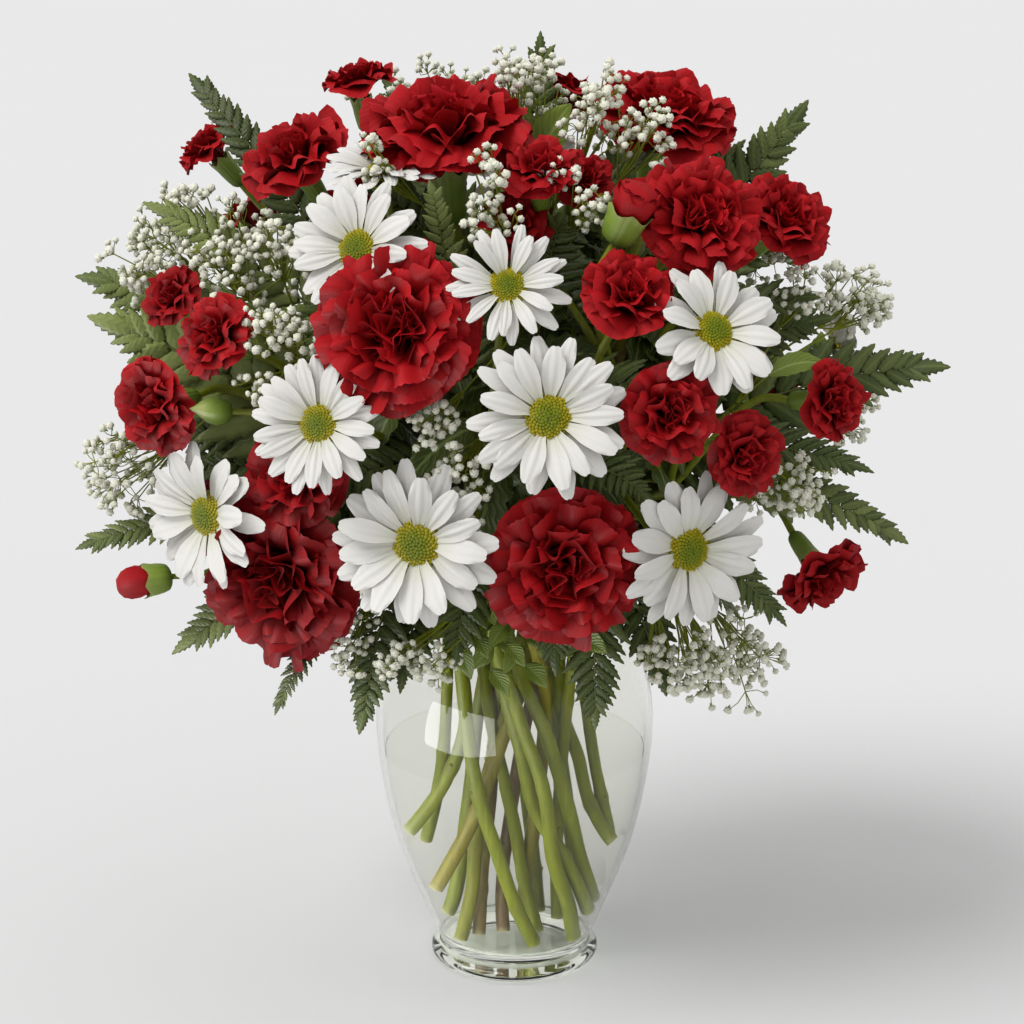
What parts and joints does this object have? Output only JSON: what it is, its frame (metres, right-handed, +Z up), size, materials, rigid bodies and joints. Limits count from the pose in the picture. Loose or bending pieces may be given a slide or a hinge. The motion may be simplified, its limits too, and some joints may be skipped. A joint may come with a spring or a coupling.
{
  "type": "bouquet of carnations in a glass vase",
  "caption": "Round bouquet of red carnations and white daisies with fern and baby's breath, standing in a clear footed glass vase of water.",
  "frame": {"origin": "middle of the vase's flat underside", "axes": "+Z up along the vase's axis, -Y towards the side that the bouquet is arranged to be seen from"},
  "size_m": [0.3864, 0.3173, 0.434],
  "materials": {
    "glass": "clear, smooth",
    "water": "clear, still",
    "stem": "fresh green stem, satin",
    "petal_red": "velvety petals",
    "petal_white": "smooth ribbed petals",
    "fern": "leathery leaf, satin",
    "breath": "tiny papery flowers",
    "leaf": "soft leaf, satin"
  },
  "bodies": {
    "root": {"glass_vase": "glass", "carnation_front_left_stem": "stem", "carnation_low_left_stem": "stem", "carnation_low_centre_stem": "stem", "carnation_upper_right_stem": "stem", "carnation_top_right_stem": "stem", "carnation_top_left_stem": "stem", "mini_left_stem": "stem", "mini_top_left_stem": "stem", "mini_upper_right_stem": "stem", "mini_right_stem": "stem", "daisy_front_stem": "stem", "daisy_left_stem": "stem", "daisy_right_stem": "stem", "carnation_back_left": "petal_red", "carnation_back_right": "petal_red", "carnation_back_low": "petal_red", "mini_back_left": "petal_red", "mini_back_right": "petal_red", "daisy_back": "petal_white", "daisy_front_head_1": "petal_white", "daisy_front_head_2": "petal_white", "daisy_front_head_3": "petal_white", "daisy_left_head_1": "petal_white", "daisy_left_head_2": "petal_white", "daisy_left_head_3": "petal_white", "daisy_left_head_4": "petal_white", "daisy_right_head_1": "petal_white", "daisy_right_head_2": "petal_white", "carnation_front_left_bloom": "petal_red", "carnation_low_left_bloom": "petal_red", "carnation_low_centre_bloom": "petal_red", "carnation_upper_right_bloom": "petal_red", "carnation_top_right_bloom": "petal_red", "carnation_top_left_bloom": "petal_red", "mini_left_bloom_1": "petal_red", "mini_left_bloom_2": "petal_red", "mini_top_left_bloom_1": "petal_red", "mini_top_left_bloom_2": "petal_red", "mini_top_left_bloom_3": "petal_red", "mini_upper_right_bloom_1": "petal_red", "mini_upper_right_bloom_2": "petal_red", "mini_upper_right_bloom_3": "petal_red", "mini_upper_right_bloom_4": "petal_red", "mini_right_bloom_1": "petal_red", "mini_right_bloom_2": "petal_red", "mini_right_bloom_3": "petal_red", "mini_right_bloom_4": "petal_red", "fern_frond_left": "fern", "fern_frond_low_left": "fern", "fern_frond_right": "fern", "fern_frond_top": "fern", "fern_frond_back": "fern", "fern_frond_hanging": "fern", "neck_leaf_sprig": "leaf", "babys_breath_left": "breath", "babys_breath_top": "breath", "babys_breath_right": "breath", "babys_breath_back": "breath", "water": "water"}
  },
  "joints": []
}
